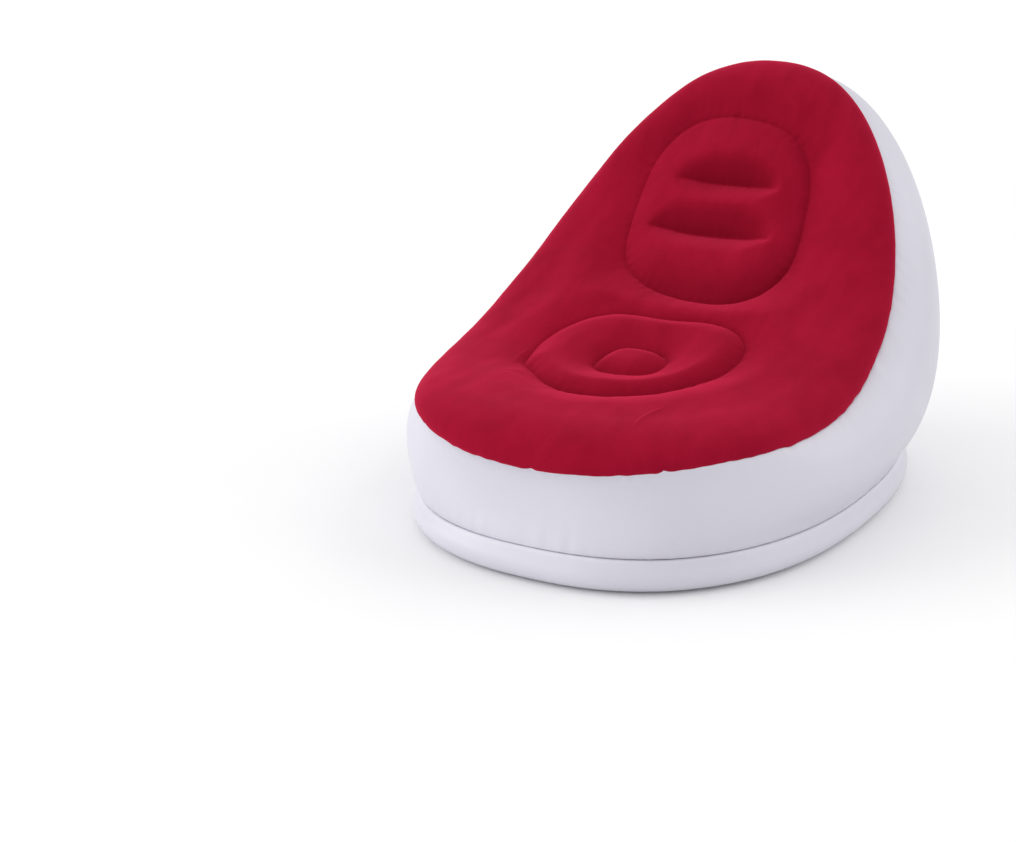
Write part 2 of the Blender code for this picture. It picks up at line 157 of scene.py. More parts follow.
def wall_at(v, t, foot=FOOT):
    a, b = rim_plan(t)
    p0 = tilted(a, b, seam_height(t) - GAP / 2)
    x, y = base_plan(t)
    p3 = np.stack(np.broadcast_arrays(x, y, foot), -1)
    out = np.stack(np.broadcast_arrays(np.sin(t), -np.cos(t), 0.0), -1)
    up = np.array([0, 0, 1.0])
    h = (p0[..., 2] - foot)[..., None]
    g = corner(t)
    p1 = p0 + out * (waves(WALL_TOP, t) + CORNER_TOP * g)[..., None] - up * h * (waves(WALL_DROP, t) + CORNER_DROP * g)[..., None]
    p2 = (p3 + out * (waves(WALL_LOW, t) + CORNER_LOW * g + BASE_BULGE)[..., None]
          + up * h * (waves(WALL_RISE, t) + CORNER_RISE * g)[..., None])
    v = np.asarray(v, float)[..., None]
    return (1 - v) ** 3 * p0 + 3 * (1 - v) ** 2 * v * p1 + 3 * (1 - v) * v * v * p2 + v ** 3 * p3


def ring_at(out, z, t):
    x, y = base_plan(t, out)
    return np.stack(np.broadcast_arrays(x, y, z), -1)


def outward(t):
    return np.stack(np.broadcast_arrays(np.sin(t), -np.cos(t), 0.0), -1)


# a repeatable, band-limited ripple: a sum of a few fixed waves
def ripple(seed, u, base, count=7, spread=2.4):
    rng = np.random.RandomState(seed)
    f = base * np.exp(rng.uniform(-np.log(spread) / 2, np.log(spread) / 2, count))
    ph = rng.uniform(0, 2 * pi, count)
    am = rng.uniform(0.5, 1.0, count)
    return sum(a * np.sin(2 * pi * k * u + p) for a, k, p in zip(am, f, ph)) / np.sqrt((am ** 2).sum() / 2) / 1.6


def ripple_round(seed, t, low, high, count=8):
    """Like ripple, but closes on itself round the object."""
    rng = np.random.RandomState(seed)
    k = rng.randint(low, high + 1, count)
    ph = rng.uniform(0, 2 * pi, count)
    am = rng.uniform(0.5, 1.0, count)
    return sum(a * np.sin(n * t + p) for a, n, p in zip(am, k, ph)) / np.sqrt((am ** 2).sum() / 2) / 1.6


def ripple_space(seed, p, wavelength, count=9):
    rng = np.random.RandomState(seed)
    out = 0.0
    for _ in range(count):
        d = rng.normal(size=3)
        d /= np.linalg.norm(d)
        k = 2 * pi / (wavelength * rng.uniform(0.7, 1.5))
        out = out + np.sin(k * (p @ d) + rng.uniform(0, 2 * pi))
    return out / sqrt(count / 2) / 1.6


# =====================================================================================
# Materials
# =====================================================================================
class Nodes:
    """A small helper to write node materials in a few lines."""

    def __init__(self, name):
        self.mat = bpy.data.materials.new(name)
        self.mat.use_nodes = True
        self.tree = self.mat.node_tree
        self.bsdf = self.tree.nodes["Principled BSDF"]
        self.coord = self.tree.nodes.new("ShaderNodeTexCoord")

    def node(self, kind, **settings):
        n = self.tree.nodes.new(kind)
        for k, v in settings.items():
            setattr(n, k, v)
        return n

    def link(self, a, b):
        self.tree.links.new(a, b)

    def stretched(self, scale, turn=(0, 0, 0)):
        m = self.node("ShaderNodeMapping")
        m.inputs["Scale"].default_value = scale
        m.inputs["Rotation"].default_value = turn
        self.link(self.coord.outputs["Object"], m.inputs["Vector"])
        return m.outputs["Vector"]

    def noise(self, scale, detail=2.0, rough=0.5, vector=None, distort=0.0):
        n = self.node("ShaderNodeTexNoise")
        n.inputs["Scale"].default_value = scale
        n.inputs["Detail"].default_value = detail
        n.inputs["Roughness"].default_value = rough
        n.inputs["Distortion"].default_value = distort
        self.link(vector or self.coord.outputs["Object"], n.inputs["Vector"])
        return n.outputs["Fac"]

    def ramp(self, fac, stops):
        r = self.node("ShaderNodeValToRGB")
        e = r.color_ramp.elements
        while len(e) < len(stops):
            e.new(0.5)
        for i, (pos, col) in enumerate(stops):
            e[i].position = pos
            e[i].color = (*col, 1.0) if len(col) == 3 else col
        self.link(fac, r.inputs["Fac"])
        return r.outputs["Color"]

    def mix(self, fac, a, b, blend="MIX"):
        m = self.node("ShaderNodeMix", data_type="RGBA", blend_type=blend)
        for sock, v in ((m.inputs[0], fac), (m.inputs[6], a), (m.inputs[7], b)):
            if isinstance(v, (int, float)):
                sock.default_value = v
            elif isinstance(v, tuple):
                sock.default_value = (*v, 1.0)
            else:
                self.link(v, sock)
        return m.outputs[2]

    def span(self, value, low, high, out_low, out_high):
        m = self.node("ShaderNodeMapRange")
        m.inputs["From Min"].default_value = low
        m.inputs["From Max"].default_value = high
        m.inputs["To Min"].default_value = out_low
        m.inputs["To Max"].default_value = out_high
        self.link(value, m.inputs["Value"])
        return m.outputs["Result"]

    def math(self, op, a, b=None):
        m = self.node("ShaderNodeMath", operation=op)
        for i, v in enumerate((a, b)):
            if v is None:
                continue
            if isinstance(v, (int, float)):
                m.inputs[i].default_value = v
            else:
                self.link(v, m.inputs[i])
        return m.outputs[0]

    def bump(self, height, strength, distance, before=None):
        b = self.node("ShaderNodeBump")
        b.inputs["Strength"].default_value = strength
        b.inputs["Distance"].default_value = distance
        self.link(height, b.inputs["Height"])
        if before is not None:
            self.link(before, b.inputs["Normal"])
        return b.outputs["Normal"]

    def set(self, **values):
        for k, v in values.items():
            sock = self.bsdf.inputs[k.replace("_", " ")]
            if isinstance(v, (int, float)):
                sock.default_value = v
            elif isinstance(v, tuple):
                sock.default_value = (*v, 1.0) if len(v) == 3 and sock.type == "RGBA" else v
            else:
                self.link(v, sock)
        return self.mat


def flock_material():
    """Short velvety flock: soft tone patches, brushed streaks, a fine pile, painted shade in the deep grooves, painted
    light and shade on the groove slopes, a soft red sheen.
    """
    m = Nodes("flock_red")
    patches = m.noise(8.0, 4.0, 0.62)
    brushed = m.noise(17.0, 4.0, 0.62, m.stretched((1.0, 0.35, 0.35), (0.35, 0, 0.2)), 0.8)
    pile = m.noise(520.0, 2.0, 0.6)
    tone = m.ramp(patches, [(0.30, (0.250, 0.0035, 0.0185)), (0.50, (0.282, 0.0042, 0.0215)), (0.72, (0.314, 0.0052, 0.0252))])
    worn = m.mix(m.span(brushed, 0.46, 0.72, 0.0, 0.50), tone, (0.345, 0.0066, 0.030))
    dusk = m.mix(m.span(brushed, 0.28, 0.43, 0.35, 0.0), worn, (0.225, 0.0030, 0.0155))
    fine = m.mix(m.span(pile, 0.35, 0.65, 0.0, 0.22), dusk, (0.20, 0.0028, 0.013))
    # painted shade and painted light, read from two mesh attributes: the depth of the grooves, and how each groove
    # slope faces the painted light
    painted_groove_shade = m.node("ShaderNodeAttribute", attribute_name="painted_groove_shade").outputs["Fac"]
    painted_slope_light = m.node("ShaderNodeAttribute", attribute_name="painted_slope_light").outputs["Fac"]
    # painted shade on slopes that face away from the painted light
    fine = m.mix(m.span(painted_slope_light, -0.04, -0.50, 0.0, 0.52), fine, (0.150, 0.0018, 0.0095))
    # painted light on slopes that face the painted light
    fine = m.mix(m.span(painted_slope_light, 0.15, 0.70, 0.0, 0.15), fine, (0.350, 0.0070, 0.031))
    # painted shade: the deepest grooves are painted darker
    fine = m.mix(m.span(painted_groove_shade, 0.5, 1.1, 0.0, 0.20), fine, (0.150, 0.0018, 0.0095))
    normal = m.bump(pile, 0.25, 0.0007)
    normal = m.bump(brushed, 0.04, 0.003, normal)
    return m.set(Base_Color=fine, Roughness=m.span(patches, 0.3, 0.7, 0.88, 0.96), Specular_IOR_Level=0.03,
                 Sheen_Weight=0.60, Sheen_Roughness=0.42, Sheen_Tint=(1.0, 0.055, 0.15), Normal=normal)


def vinyl_material(name, base=(0.590, 0.577, 0.645), rough=(0.36, 0.46)):
    """Satin white film: a faint leathery emboss, slow waviness, a breath of lavender, thin handling marks."""
    m = Nodes(name)
    slow = m.noise(3.2, 2.0, 0.5)
    emboss = m.noise(900.0, 2.0, 0.55)
    drift = m.noise(22.0, 3.0, 0.55)
    low = tuple(c * 0.965 for c in base)
    high = tuple(min(1.0, c * 1.03) for c in base)
    tone = m.ramp(slow, [(0.32, low), (0.52, base), (0.74, high)])
    marks = m.noise(60.0, 4.0, 0.65, m.stretched((0.25, 0.25, 1.0)), 1.2)
    tone = m.mix(m.span(marks, 0.60, 0.80, 0.0, 0.10), tone, tuple(c * 0.86 for c in base))
    # painted light: the film is painted paler along the crease where body and ring meet, to lift the shade in that
    # crease
    painted_crease_light = m.node("ShaderNodeAttribute", attribute_name="crease").outputs["Fac"]
    tone = m.mix(m.span(painted_crease_light, 0.0, 1.0, 0.0, 0.85), tone, (0.90, 0.88, 0.95))
    normal = m.bump(emboss, 0.10, 0.0004)
    normal = m.bump(drift, 0.05, 0.004, normal)
    return m.set(Base_Color=tone, Roughness=m.span(drift, 0.3, 0.7, rough[0], rough[1]), Specular_IOR_Level=0.42,
                 Sheen_Weight=0.0, Normal=normal)


def moulded_material(name, base=(0.74, 0.735, 0.76), rough=(0.24, 0.34), clear=0.0):
    """Moulded plastic of the valves: smooth, with a faint flow texture and a fine bump."""
    m = Nodes(name)
    flow = m.noise(90.0, 3.0, 0.5, None, 0.4)
    fine = m.noise(2400.0, 2.0, 0.5)
    tone = m.ramp(flow, [(0.3, tuple(c * 0.95 for c in base)), (0.7, tuple(min(1, c * 1.03) for c in base))])
    normal = m.bump(fine, 0.12, 0.0002)
    return m.set(Base_Color=tone, Roughness=m.span(flow, 0.3, 0.7, rough[0], rough[1]),
                 Specular_IOR_Level=0.5, Transmission_Weight=clear, Normal=normal)


FLOCK = flock_material()
VINYL_BODY = vinyl_material("vinyl_body")
VINYL_RING = vinyl_material("vinyl_ring", (0.610, 0.600, 0.665), (0.34, 0.45))
VINYL_UNDER = vinyl_material("vinyl_under", (0.58, 0.57, 0.62), (0.42, 0.55))
WEB = vinyl_material("vinyl_web", (0.60, 0.60, 0.64), (0.38, 0.50))
MOULD = moulded_material("valve_plastic")
MOULD_SOFT = moulded_material("valve_soft_plastic", (0.72, 0.715, 0.745), (0.32, 0.44))
FLAP = moulded_material("valve_flap_film", (0.60, 0.60, 0.64), (0.22, 0.32), 0.35)


# =====================================================================================
# Frames of the two valves: local Z points out of the chair, local Y up
# =====================================================================================
MM = 0.001
JOINTS = {j["name"]: j for j in frame["record"]["behaviour"]["joints"]}


def valve_frame(point, axis):
    out = Vector(axis).normalized()
    side = Vector((-1.0, 0.0, 0.0))
    return Matrix.Translation(Vector(point)) @ Matrix((side, out.cross(side), out)).transposed().to_4x4()


MAIN = valve_frame(JOINTS["main_valve_turn"]["pos_m"], JOINTS["main_valve_turn"]["axis"])
BASE = valve_frame((0.0, BASE_Y + BASE_HALF_L + BASE_BULGE, (BASE_H - SHEET / 2 - GAP + SHEET + GAP) / 2),
                   JOINTS["base_stem_pull"]["axis"])


def flatten_near(points, place, inner, outer):
    """The film lies flat under a valve's flange, and eases back into its own curve round it."""
    m = np.array(place.inverted())
    local = points @ m[:3, :3].T + m[:3, 3]
    r = np.hypot(local[:, 0], local[:, 1])
    w = (1 - smooth((r - inner) / (outer - inner))) * (np.abs(local[:, 2]) < 0.03)
    n = np.array(place)[:3, 2]
    return points - (w * local[:, 2])[:, None] * n


# =====================================================================================
# Mesh helpers
# =====================================================================================
def make_object(name, verts, faces, mat):
    mesh = bpy.data.meshes.new(name)
    mesh.from_pydata([tuple(v) for v in verts], [], [tuple(int(i) for i in f) for f in faces])
    mesh.validate()
    mesh.shade_smooth()
    mesh.materials.append(mat)
    obj = bpy.data.objects.new(name, mesh)
    bpy.context.scene.collection.objects.link(obj)
    return obj


def apply_modifiers(obj):
    bpy.context.view_layer.update()
    depsgraph = bpy.context.evaluated_depsgraph_get()
    mesh = bpy.data.meshes.new_from_object(obj.evaluated_get(depsgraph))
    obj.modifiers.clear()
    old = obj.data
    obj.data = mesh
    mesh.name = obj.name
    bpy.data.meshes.remove(old)
    return obj


def thicken(obj, thickness=SHEET, offset=-1.0):
    mod = obj.modifiers.new("sheet", "SOLIDIFY")
    mod.thickness = thickness
    mod.offset = offset
    mod.use_even_offset = True
    mod.use_rim = True
    return apply_modifiers(obj)


def normals_of(verts, faces):
    mesh = bpy.data.meshes.new("probe")
    mesh.from_pydata([tuple(v) for v in verts], [], [tuple(int(i) for i in f) for f in faces])
    mesh.update()
    n = np.zeros(len(mesh.vertices) * 3, np.float32)
    mesh.vertex_normals.foreach_get("vector", n)
    bpy.data.meshes.remove(mesh)
    return n.reshape(-1, 3).astype(float)


def grid_faces(rows, cols, flip=False, start=0, closed=True):
    f = []
    span = cols if closed else cols - 1
    for r in range(rows - 1):
        for j in range(span):
            k = (j + 1) % cols
            q = (start + r * cols + j, start + (r + 1) * cols + j, start + (r + 1) * cols + k, start + r * cols + k)
            f.append(q[::-1] if flip else q)
    return f


# =====================================================================================
# Weld lines of the panel, in its plan (a across, b along, metres)
# =====================================================================================
def evenly(a, b, closed):
    """The same line with its points 1.8 mm apart."""
    if closed:
        a, b = np.r_[a, a[0]], np.r_[b, b[0]]
    u = np.r_[0, np.cumsum(np.hypot(np.diff(a), np.diff(b)))]
    n = max(4, int(u[-1] / 0.0018))
    q = np.arange(n) * u[-1] / (n if closed else n - 1)
    return np.interp(q, u, a), np.interp(q, u, b)


def loop_line(centre_b, half_w, half_l, power, egg=0.0, tips=(), count=1400):
    t = np.arange(count) * 2 * pi / count
    c, s = np.cos(t), np.sin(t)
    a = half_w * spow(s, 2 / power) * (1 + egg * c)
    b = -half_l * spow(c, 2 / power)
    ang = np.arctan2(a / half_w, -b / half_l)
    grow = np.ones_like(t)
    for where, amount, width in tips:
        d = (ang - where + pi) % (2 * pi) - pi
        grow += amount * np.exp(-(d / width) ** 2)
    return evenly(a * grow, b * grow + centre_b, True)


def polar_line(centre, radius, cosines, sines, tips=(), count=1400):
    """A rounded loop: its radius over the angle from the front, as a short sum of waves."""
    t = np.arange(count) * 2 * pi / count
    r = radius + sum(c * np.cos((k + 1) * t) for k, c in enumerate(cosines)) \
        + sum(c * np.sin((k + 1) * t) for k, c in enumerate(sines))
    for where, amount, width in tips:
        d = (t - where + pi) % (2 * pi) - pi
        r = r + amount * np.exp(-(d / width) ** 2)
    return evenly(centre[0] + r * np.sin(t), centre[1] - r * np.cos(t), True)


def wrinkle_line(points):
    """A smooth short line through a few points of the plan."""
    p = np.array(points)
    u = np.r_[0, np.cumsum(np.hypot(*np.diff(p, axis=0).T))]
    deg = min(3, len(p) - 1)
    q = np.linspace(0, u[-1], 200)
    return evenly(np.polyval(np.polyfit(u, p[:, 0], deg), q), np.polyval(np.polyfit(u, p[:, 1], deg), q), False)


def crease_line(centre, half, sag, droop):
    """droop: how far the right side's and the left side's end hang down."""
    a = np.linspace(-1, 1, 300)
    return evenly(centre[0] + half * a, centre[1] - sag * (1 - a ** 2) - np.where(a > 0, droop[1], droop[0]) * np.abs(a) ** 5, False)


class Weld:
    """A line where the panel is welded to a web: depth of the pull, and its reach and steepness on both sides."""

    def __init__(self, plan, closed, depth, inner, outer, seed, flat=0.0012, taper=False, pucker=0.0005, crisp=0.0028,
                 swing=(0.0, 0.0)):
        self.a, self.b = plan
        self.swing, self.mid = swing, (self.a.mean(), self.b.mean())
        self.crisp = crisp
        self.closed, self.depth, self.flat, self.taper, self.pucker = closed, depth, flat, taper, pucker
        self.inner, self.outer, self.seed = inner, outer, seed
        self.p = panel_at(self.a, self.b)
        step = np.linalg.norm(np.diff(self.p, axis=0, append=self.p[:1]), axis=1)
        if not closed:
            step[-1] = 0
        self.u = np.r_[0, np.cumsum(step)][:-1]
        self.total = step.sum()
        self.tree = kdtree.KDTree(len(self.p))
        for i, q in enumerate(self.p):
            self.tree.insert(q, i)
        self.tree.balance()

    def near(self, pts, a, b):
        """For each point: distance, place along the line, and which side (+1 inside a loop, or above a crease)."""
        n = len(self.p)
        idx = np.array([self.tree.find(q)[1] for q in pts])
        best = np.full(len(pts), 1e9)
        place = np.zeros(len(pts))
        seg = idx.copy()
        for shift in (-1, 0):
            i = idx + shift
            if self.closed:
                i %= n
                j = (i + 1) % n
            else:
                i = np.clip(i, 0, n - 2)
                j = i + 1
            d = self.p[j] - self.p[i]
            w = pts - self.p[i]
            f = np.clip((w * d).sum(1) / (d * d).sum(1), 0, 1)
            r = np.linalg.norm(w - f[:, None] * d, axis=1)
            better = r < best
            best[better] = r[better]
            place[better] = (self.u[i] + f * np.linalg.norm(d, axis=1))[better]
            seg[better] = i[better]
        j = (seg + 1) % n if self.closed else np.minimum(seg + 1, n - 1)
        i = seg if self.closed else np.minimum(seg, n - 2)
        ta, tb = self.a[j] - self.a[i], self.b[j] - self.b[i]
        side = np.sign(ta * (b - self.b[i]) - tb * (a - self.a[i]))
        return best, place, side

    def local_depth(self, a, b):
        """The pull is stronger on one side of a loop, where the air pushes harder."""
        a, b = a - self.mid[0], b - self.mid[1]
        r = np.maximum(np.hypot(a, b), 1e-4)
        return self.depth * (1 + self.swing[0] * a / r + self.swing[1] * b / r)

    def sink(self, pts, a, b):
        """How far the line pulls each point of the panel in."""
        d, u, side = self.near(pts, a, b)
        share = u / self.total
        depth = self.local_depth(a, b)
        wide = np.where(side > 0, self.inner[0], self.outer[0])
        steep = np.where(side > 0, self.inner[1], self.outer[1])
        if self.taper:
            hold = np.clip(1 - np.abs(2 * share - 1) ** np.where(share > 0.5, 2.9, 2.6), 0, 1)
            depth = depth * (0.03 + 0.97 * hold)
            wide = wide * (0.50 + 0.50 * hold)
        soft = np.sqrt(np.maximum(d - self.flat, 0) ** 2 + 0.0009 ** 2) - 0.0009
        x = np.clip(soft / wide, 0, 1)
        fall = (1 - x) ** steep
        pull = depth * fall + self.crisp * np.exp(-d / 0.0045) * (depth / self.depth)
        # small puckers that run off the weld
        along = ripple(self.seed, u, 1 / 0.021) if not self.closed else ripple_round(
            self.seed, 2 * pi * share, int(self.total / 0.034), int(self.total / 0.015))
        ease = np.clip(d / 0.004, 0, 1) * np.exp(-(d / 0.017) ** 1.3)
        return pull, self.pucker * along * ease


BACK_OVAL = Weld(polar_line((-0.0092, 0.2384), 0.2038, (0.0017, 0.0148, -0.0018, -0.0074), (0.0014, 0.0091, 0.0014, 0.0005),
                            ((pi, -0.011, 0.60), (0.0, -0.007, 0.80))),
                 True, 0.0235, (0.100, 1.9), (0.100, 1.7), 11, swing=(0.22, -0.26))
SEAT_RING = Weld(polar_line((-0.0093, -0.1995), 0.1771, (-0.0129, -0.0179, 0.0136, -0.0039, 0.0003),
                            (-0.0025, -0.0083, 0.0018, 0.0028, -0.0024), ((-1.22, 0.010, 0.15),)),
                 True, 0.0190, (0.044, 1.9), (0.080, 1.7), 12, swing=(0.05, -0.08))
SEAT_DISC = Weld(loop_line(-0.202, 0.066, 0.055, 2.3, 0.0, ((-0.95, 0.06, 0.35),)), True, 0.0215, (0.046, 2.0), (0.080, 1.6), 13,
                 swing=(-0.12, 0.16))
CREASE_UP = Weld(crease_line((-0.0055, 0.3110), 0.116, 0.001, (0.010, 0.017)), False, 0.0345, (0.084, 2.6), (0.060, 1.6), 14,
                 taper=True, crisp=0.0012)
CREASE_LOW = Weld(crease_line((-0.0105, 0.2025), 0.142, 0.002, (0.011, 0.017)), False, 0.0370, (0.088, 2.6), (0.062, 1.6), 15,
                  taper=True, crisp=0.0012)
PLUMP = 0.009         # the air lifts the fine panel this much between its welds
WELDS = (BACK_OVAL, SEAT_RING, SEAT_DISC, CREASE_UP, CREASE_LOW)


def wrinkle(points, height, wide, seed):
    return Weld(wrinkle_line(points), False, -height, (wide, 2.0), (wide * 1.6, 2.0), seed, 0.0003, True, 0.0, 0.0)


# small wrinkles of the film: one on the front roll, and a few that run off the left tip of the seat's ring
WRINKLES = (
    wrinkle(((0.1523, -0.4852), (0.1492, -0.4534), (0.1526, -0.4163), (0.1616, -0.3856)), 0.0016, 0.007, 21),
    wrinkle(((-0.2002, -0.3212), (-0.1849, -0.3214), (-0.1644, -0.3196), (-0.1449, -0.3235)), 0.0010, 0.006, 22),
    wrinkle(((-0.1886, -0.3397), (-0.1597, -0.3517), (-0.1286, -0.3678), (-0.0927, -0.3925)), 0.0011, 0.008, 23),
    wrinkle(((-0.2101, -0.2805), (-0.2161, -0.2413), (-0.2150, -0.2080)), 0.0009, 0.007, 24),
)

# =====================================================================================
# Rim seam: both sheets share these small moves where they are welded together
# =====================================================================================
def even(plan, count):
    """Angles that space the points of a plan curve evenly, starting at the front."""
    t = np.linspace(0, 2 * pi, 40001)
    x, y = plan(t)
    u = np.r_[0, np.cumsum(np.hypot(np.diff(x), np.diff(y)))]
    return np.interp(np.arange(count) * u[-1] / count, u, t)


PLAN_EDGE = 0.87       # the free mesh of the panel ends here, and rows round the rim begin
NT = 720
T = even(rim_plan, NT)
NOTCHES = ((0.012, 0.0026, 0.008), (-0.012, -0.0012, 0.012), (0.475, 0.0024, 0.008), (0.452, -0.0012, 0.014),
           (0.72, 0.0010, 0.014), (0.985, -0.0022, 0.022), (0.93, 0.0010, 0.016), (-0.31, -0.0012, 0.014),
           (-0.53, 0.0015, 0.012), (-1.05, -0.0014, 0.014), (2.30, 0.0012, 0.016), (-2.05, 0.0015, 0.016))


def seam_move(t):
    lift = 0.0004 * ripple_round(31, t, 60, 140) + 0.0005 * ripple_round(32, t, 18, 45)
    for where, amount, width in NOTCHES:
        d = (t - where + pi) % (2 * pi) - pi
        lift = lift + amount * np.exp(-(d / width) ** 2)
    pull = 0.0026 + 0.0005 * ripple_round(33, t, 40, 120)
    return lift, pull


def seam_shift(dist, t, reach=0.010):
    lift, pull = seam_move(t)
    near = np.exp(-(dist / reach) ** 2)
    tuck = np.exp(-dist / (0.45 * reach))
    return (near * lift)[..., None] * np.array([0, 0, 1.0]) - (tuck * pull)[..., None] * outward(t)


# =====================================================================================
# The flocked panel
# =====================================================================================
def offsets(weld, dist, pitch):
    """Points at a distance on both sides of a weld line, in plan."""
    n = len(weld.a)
    a, b = weld.a, weld.b
    if weld.closed:
        ta, tb = np.roll(a, -1) - np.roll(a, 1), np.roll(b, -1) - np.roll(b, 1)
    else:
        ta, tb = np.gradient(a), np.gradient(b)
    ln = np.hypot(ta, tb)
    na, nb = -tb / ln, ta / ln
    keep = max(1, int(round(pitch / 0.0018)))
    pick = np.arange(0, n, keep)
    pts = []
    for sgn in ((1, -1) if dist > 0 else (1,)):
        pts.append(np.stack([a[pick] + sgn * dist * na[pick], b[pick] + sgn * dist * nb[pick]], -1))
    if not weld.closed and dist > 0:
        for end, way in ((0, -1), (n - 1, 1)):
            m = max(3, int(pi * dist / pitch))
            ang = np.linspace(-pi / 2, pi / 2, m + 1)[1:-1]
            ea, eb = way * ta[end] / ln[end], way * tb[end] / ln[end]
            pts.append(np.stack([a[end] + dist * (np.cos(ang) * ea - np.sin(ang) * eb),
                                 b[end] + dist * (np.cos(ang) * eb + np.sin(ang) * ea)], -1))
    return np.concatenate(pts)


def panel_plan_mesh():
    ring_a, ring_b = rim_plan(T)
    edge = np.stack([PLAN_EDGE * ring_a, PLAN_EDGE * ring_b], -1)
    pts = [edge]
    edges = [(i, (i + 1) % NT) for i in range(NT)]
    count = len(edge)
    lines = []
    for w in WELDS + WRINKLES:
        core = np.stack([w.a, w.b], -1)
        pts.append(core)
        n = len(core)
        edges += [(count + i, count + (i + 1) % n) for i in range(n if w.closed else n - 1)]
        count += n
        lines.append(core)
        for dist, pitch in ((0.0011, 0.0018), (0.0024, 0.0018), (0.0040, 0.0036), (0.0060, 0.0036), (0.0085, 0.0036),
                            (0.0115, 0.0054), (0.0155, 0.0054), (0.0205, 0.0072))[:5 if w in WRINKLES else 8]:
            o = offsets(w, dist, pitch)
            o = o[plan_ratio(o[:, 0], o[:, 1]) < PLAN_EDGE - 0.008]
            pts.append(o)
            count += len(o)
    step = 0.0064
    ga = np.arange(-0.44, 0.44, step)
    gb = np.arange(-0.60, 0.60, step * sqrt(3) / 2)
    A, B = np.meshgrid(ga, gb)
    A = A + (np.arange(len(gb)) % 2)[:, None] * step / 2
    coarse = np.stack([A.ravel(), B.ravel()], -1)
    inside = plan_ratio(coarse[:, 0], coarse[:, 1]) < PLAN_EDGE - 0.006
    coarse = coarse[inside]
    tree = kdtree.KDTree(sum(len(c) for c in lines))
    i = 0
    for c in lines:
        for q in c:
            tree.insert((q[0], q[1], 0), i)
            i += 1
    tree.balance()
    far = np.array([tree.find((q[0], q[1], 0))[2] > 0.0245 for q in coarse])
    pts.append(coarse[far])
    allp = np.concatenate(pts)
    out = delaunay_2d_cdt([Vector((float(p[0]), float(p[1]))) for p in allp], edges, [], 0, 1e-6, False)
    co = np.array([(v[0], v[1]) for v in out[0]])
    faces = np.array([f for f in out[2]])
    mid = co[faces].mean(1)
    return co, faces[plan_ratio(mid[:, 0], mid[:, 1]) < PLAN_EDGE], edge


def build_panel():
    plan, tris, edge = panel_plan_mesh()
    # rim band, from the crest down to the seam
    rows = 22
    band_a, band_b, band_s = [], [], []
    ra, rb = rim_plan(T)
    for k in range(1, rows + 1):
        s = PLAN_EDGE + (1 - PLAN_EDGE) * sin(k / rows * pi / 2)
        band_a.append(s * ra); band_b.append(s * rb); band_s.append(np.full(NT, s))
    # the last row's own vertices in the plan mesh
    tree = kdtree.KDTree(len(plan))
    for i, q in enumerate(plan):
        tree.insert((q[0], q[1], 0), i)
    tree.balance()
    crest = [tree.find((q[0], q[1], 0))[1] for q in edge]
    n0 = len(plan)
    a = np.concatenate([plan[:, 0]] + band_a)
    b = np.concatenate([plan[:, 1]] + band_b)
    s = np.concatenate([plan_ratio(plan[:, 0], plan[:, 1])] + band_s)
    base = tilted(a, b, panel_height(s, b))
    # triangles face up
    p = plan[tris]
    area = (p[:, 1, 0] - p[:, 0, 0]) * (p[:, 2, 1] - p[:, 0, 1]) - (p[:, 1, 1] - p[:, 0, 1]) * (p[:, 2, 0] - p[:, 0, 0])
    tris = np.where((area > 0)[:, None], tris, tris[:, ::-1])
    tris = tris[np.abs(area) > 1e-12]
    faces = [tuple(f) for f in tris]
    for j in range(NT):
        k = (j + 1) % NT
        faces.append((crest[j], n0 + j, n0 + k, crest[k]))
    faces += grid_faces(rows, NT, start=n0)
    normal = normals_of(base, faces)
    if normal[0] @ np.array([0, 0, 1.0]) < 0:
        faces = [f[::-1] for f in faces]
        normal = -normal
    # grooves
    total = np.zeros(len(base))
    pucker = np.zeros(len(base))
    for w in WELDS:
        pull, small = w.sink(base, a, b)
        total += pull ** 3
        pucker += small
    total = np.cbrt(total)
    # painted shade: the depth of the grooves, which darkens the flock there
    painted_groove_shade = np.clip(total / 0.030, 0, 1)
    for w in WRINKLES:
        total += w.sink(base, a, b)[0]
    slow = 0.0011 * ripple_space(41, base, 0.17) + 0.0004 * ripple_space(42, base, 0.055)
    hold = np.clip((1 - s) / 0.06, 0, 1)
    plump = PLUMP * (1 - smooth((s - 0.55) / 0.25))
    # the roll on the sitter's right of the back stands a little fuller
    fuller = 0.0055 * smooth((-a - 0.13) / 0.16) * smooth((b + 0.04) / 0.16) * (1 - smooth((b - 0.36) / 0.20)) * smooth((1 - s) / 0.10)
    move = -total + (pucker + slow) * hold + plump + fuller
    verts = base + normal * move[:, None]
    # painted light and shade on the groove slopes: brushed is the direction the painted light falls from, upwards and a
    # little to the sitter's right; slopes that face it are painted lighter, slopes that face away darker, more strongly
    # on the back than on the seat
    brushed = np.array([-0.22, 0.975 * cos(radians(RIM_TILT + 20)), 0.975 * sin(radians(RIM_TILT + 20))])
    painted_slope_light = (normals_of(verts, faces) - normal) @ brushed * (0.35 + 0.90 * smooth((b + 0.08) / 0.14))
    # seam
    seam0 = len(base) - NT
    tt = np.tile(T, rows)
    seam_pts = np.tile(base[seam0:], (rows, 1))
    dist = np.linalg.norm(base[n0:] - seam_pts, axis=1)
    verts[n0:] += seam_shift(dist, tt)
    # the weld flange, turned in under the rim
    lip = verts[seam0:] - LIP * outward(T) + np.array([0, 0, GAP / 2])
    verts[seam0:] += np.array([0, 0, GAP / 2])
    n1 = len(verts)
    verts = np.concatenate([verts, lip])
    for j in range(NT):
        k = (j + 1) % NT
        q = (seam0 + j, n1 + j, n1 + k, seam0 + k)
        faces.append(q)
    return verts, faces, (np.r_[painted_groove_shade, np.zeros(NT)], np.r_[painted_slope_light, np.zeros(NT)])


